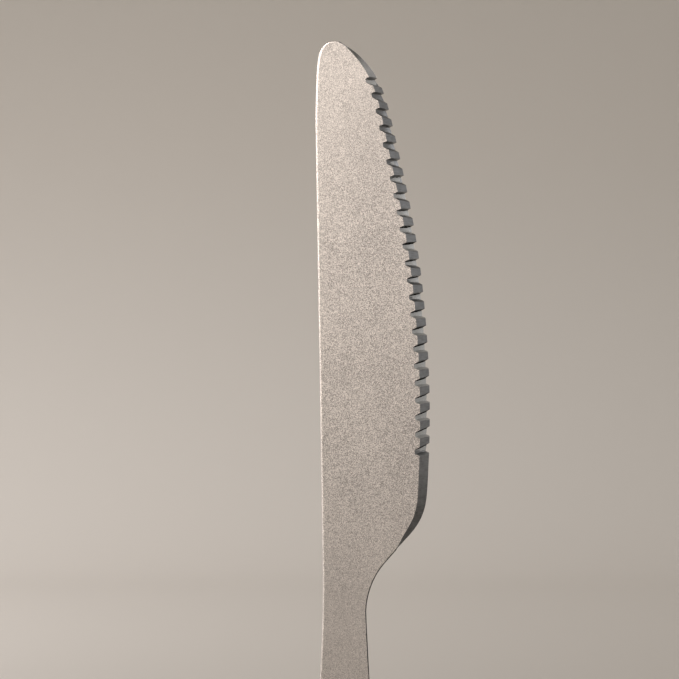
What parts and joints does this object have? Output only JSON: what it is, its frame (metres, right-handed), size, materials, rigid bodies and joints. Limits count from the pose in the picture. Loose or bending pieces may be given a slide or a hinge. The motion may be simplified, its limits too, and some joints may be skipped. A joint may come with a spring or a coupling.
{
  "type": "picnic knife with carrying hook",
  "caption": "Flat one-piece picnic table knife with a serrated, single-bevel edge and rounded tip, and a spring-gate carrying hook hanging from its handle hole.",
  "frame": {"origin": "middle of the handle grip, in the middle of the sheet's thickness", "axes": "+Z from the handle to the tip of the blade, +X towards the cutting edge, +Y out of the flat back; the bevelled front faces -Y"},
  "size_m": [0.0226, 0.024, 0.2294],
  "materials": {
    "blasted_titanium": "fine bead-blasted titanium with a darker ground bevel",
    "hook_aluminium": "satin anodised aluminium",
    "pin_steel": "turned stainless steel",
    "spring_steel": "drawn stainless spring wire"
  },
  "bodies": {
    "knife": {"knife": "blasted_titanium"},
    "hook": {"hook_body": "hook_aluminium", "gate_pivot_rivet": "pin_steel"},
    "gate": {"hook_gate": "hook_aluminium", "gate_latch_pin": "pin_steel", "gate_spring": "spring_steel"},
    "plunger": {"spring_plunger": "pin_steel"}
  },
  "joints": [
    {"name": "hook_swing", "type": "hinge", "parent": "knife", "child": "hook", "pos_m": [0, 0, -0.037], "axis": [0, 1, 0], "range_deg": [-110, 110]},
    {"name": "gate_hinge", "type": "hinge", "parent": "hook", "child": "gate", "pos_m": [0, -0.01, -0.0686], "axis": [-1, 0, 0], "range_deg": [0, 25], "stiffness_Nm_per_rad": 0.04, "springref_deg": -22.92},
    {"name": "plunger_slide", "type": "slide", "parent": "gate", "child": "plunger", "axis": [0, 0, 1], "range_m": [0, 0.00055], "deforming": ["gate_spring"]}
  ],
  "couplings": [
    {"joint": "plunger_slide", "follows": "gate_hinge", "m_per_rad": 0.00126}
  ]
}
